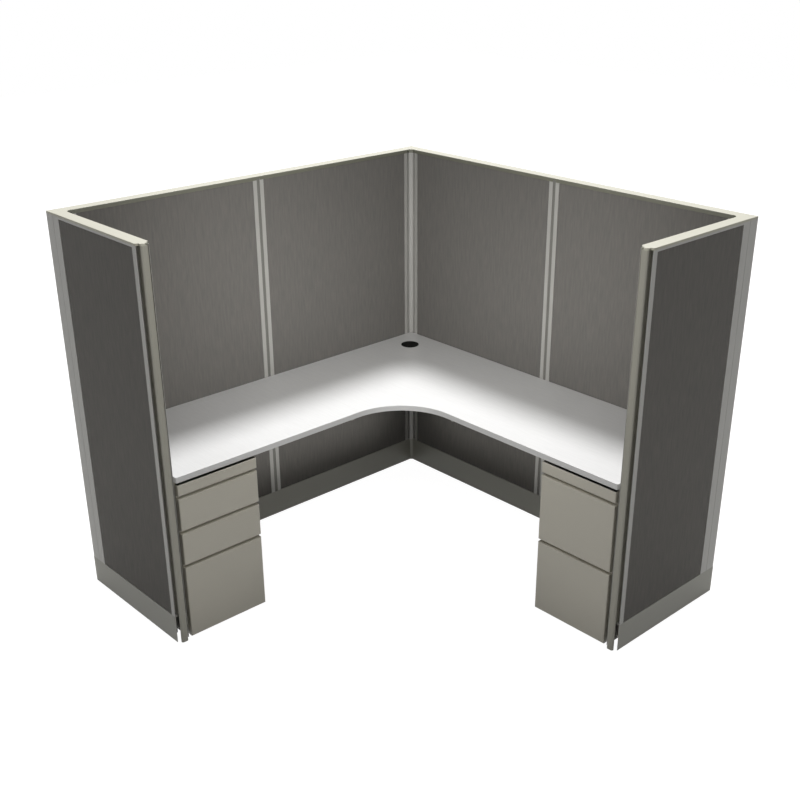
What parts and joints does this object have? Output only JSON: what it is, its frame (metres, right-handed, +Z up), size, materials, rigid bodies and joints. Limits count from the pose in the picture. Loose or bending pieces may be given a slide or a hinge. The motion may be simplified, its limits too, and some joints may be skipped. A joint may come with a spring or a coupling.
{
  "type": "cubicle workstation",
  "caption": "Office cubicle workstation: fabric panels on three sides with wings, an L-shaped worktop with a curved inner corner, and drawer pedestals under both ends.",
  "frame": {"origin": "on the floor, under the middle of the workstation's bounding box", "axes": "+Z up; the back corner of the L is at -X +Y, the back wall runs along X at +Y, the left wall along Y at -X, and the user comes in from +X -Y"},
  "size_m": [1.9388, 1.9388, 1.6764],
  "materials": {
    "frame_paint": "satin",
    "tile_fabric": "matte",
    "cap_paint": "satin",
    "base_paint": "satin",
    "trim_paint": "satin",
    "pedestal_paint": "satin",
    "drawer_paint": "satin",
    "worktop_laminate": "satin",
    "edge_band_plastic": "satin",
    "black_plastic": "satin",
    "bracket_paint": "satin",
    "zinc_steel": "satin",
    "seal_vinyl": "matte",
    "glide_plastic": "matte"
  },
  "bodies": {
    "workstation": {"left_rear_frame": "frame_paint", "left_rear_fabric_tiles": "tile_fabric", "left_rear_top_cap": "cap_paint", "left_rear_base_covers": "base_paint", "left_front_frame": "frame_paint", "left_front_fabric_tiles": "tile_fabric", "left_front_top_cap": "cap_paint", "left_front_base_covers": "base_paint", "back_right_frame": "frame_paint", "back_right_fabric_tiles": "tile_fabric", "back_right_top_cap": "cap_paint", "back_right_base_covers": "base_paint", "back_left_frame": "frame_paint", "back_left_fabric_tiles": "tile_fabric", "back_left_top_cap": "cap_paint", "back_left_base_covers": "base_paint", "left_wing_frame": "frame_paint", "left_wing_fabric_tiles": "tile_fabric", "left_wing_top_cap": "cap_paint", "left_wing_base_covers": "base_paint", "right_wing_frame": "frame_paint", "right_wing_fabric_tiles": "tile_fabric", "right_wing_top_cap": "cap_paint", "right_wing_base_covers": "base_paint", "corner_posts": "frame_paint", "inner_corner_strips": "frame_paint", "inner_corner_base_covers": "base_paint", "corner_top_caps": "cap_paint", "wing_end_trims": "trim_paint", "panel_connector_plates": "zinc_steel", "joint_light_seals": "seal_vinyl", "leveling_glides": "glide_plastic", "worktop": "worktop_laminate", "worktop_edge_band": "edge_band_plastic", "grommet_sleeve": "black_plastic", "grommet_cap": "black_plastic", "cantilever_brackets": "bracket_paint", "corner_bracket": "bracket_paint", "worktop_screws": "zinc_steel", "pedestal_header_rails": "pedestal_paint", "pedestal_glides": "glide_plastic", "left_pedestal_case": "pedestal_paint", "left_pedestal_cabinet_slides": "zinc_steel", "right_pedestal_case": "pedestal_paint", "right_pedestal_cabinet_slides": "zinc_steel"},
    "left_file_drawer": {"left_file_drawer_front": "pedestal_paint", "left_file_drawer_box": "drawer_paint"},
    "left_file_drawer_intermediate_members": {"left_file_drawer_slides": "zinc_steel"},
    "left_lower_box_drawer": {"left_lower_box_drawer_front": "pedestal_paint", "left_lower_box_drawer_box": "drawer_paint"},
    "left_lower_box_drawer_intermediate_members": {"left_lower_box_drawer_slides": "zinc_steel"},
    "left_upper_box_drawer": {"left_upper_box_drawer_front": "pedestal_paint", "left_upper_box_drawer_box": "drawer_paint"},
    "left_upper_box_drawer_intermediate_members": {"left_upper_box_drawer_slides": "zinc_steel"},
    "right_lower_file_drawer": {"right_lower_file_drawer_front": "pedestal_paint", "right_lower_file_drawer_box": "drawer_paint"},
    "right_lower_file_drawer_intermediate_members": {"right_lower_file_drawer_slides": "zinc_steel"},
    "right_upper_file_drawer": {"right_upper_file_drawer_front": "pedestal_paint", "right_upper_file_drawer_box": "drawer_paint"},
    "right_upper_file_drawer_intermediate_members": {"right_upper_file_drawer_slides": "zinc_steel"}
  },
  "joints": [
    {"name": "left_file_drawer_slide", "type": "slide", "parent": "workstation", "child": "left_file_drawer", "axis": [1, 0, 0], "range_m": [0, 0.45]},
    {"name": "left_file_drawer_members_slide", "type": "slide", "parent": "workstation", "child": "left_file_drawer_intermediate_members", "axis": [1, 0, 0], "range_m": [0, 0.225]},
    {"name": "left_lower_box_drawer_slide", "type": "slide", "parent": "workstation", "child": "left_lower_box_drawer", "axis": [1, 0, 0], "range_m": [0, 0.45]},
    {"name": "left_lower_box_drawer_members_slide", "type": "slide", "parent": "workstation", "child": "left_lower_box_drawer_intermediate_members", "axis": [1, 0, 0], "range_m": [0, 0.225]},
    {"name": "left_upper_box_drawer_slide", "type": "slide", "parent": "workstation", "child": "left_upper_box_drawer", "axis": [1, 0, 0], "range_m": [0, 0.45]},
    {"name": "left_upper_box_drawer_members_slide", "type": "slide", "parent": "workstation", "child": "left_upper_box_drawer_intermediate_members", "axis": [1, 0, 0], "range_m": [0, 0.225]},
    {"name": "right_lower_file_drawer_slide", "type": "slide", "parent": "workstation", "child": "right_lower_file_drawer", "axis": [0, -1, 0], "range_m": [0, 0.45]},
    {"name": "right_lower_file_drawer_members_slide", "type": "slide", "parent": "workstation", "child": "right_lower_file_drawer_intermediate_members", "axis": [0, -1, 0], "range_m": [0, 0.225]},
    {"name": "right_upper_file_drawer_slide", "type": "slide", "parent": "workstation", "child": "right_upper_file_drawer", "axis": [0, -1, 0], "range_m": [0, 0.45]},
    {"name": "right_upper_file_drawer_members_slide", "type": "slide", "parent": "workstation", "child": "right_upper_file_drawer_intermediate_members", "axis": [0, -1, 0], "range_m": [0, 0.225]}
  ],
  "couplings": [
    {"joint": "left_file_drawer_members_slide", "follows": "left_file_drawer_slide", "ratio": 0.5},
    {"joint": "left_lower_box_drawer_members_slide", "follows": "left_lower_box_drawer_slide", "ratio": 0.5},
    {"joint": "left_upper_box_drawer_members_slide", "follows": "left_upper_box_drawer_slide", "ratio": 0.5},
    {"joint": "right_lower_file_drawer_members_slide", "follows": "right_lower_file_drawer_slide", "ratio": 0.5},
    {"joint": "right_upper_file_drawer_members_slide", "follows": "right_upper_file_drawer_slide", "ratio": 0.5}
  ]
}
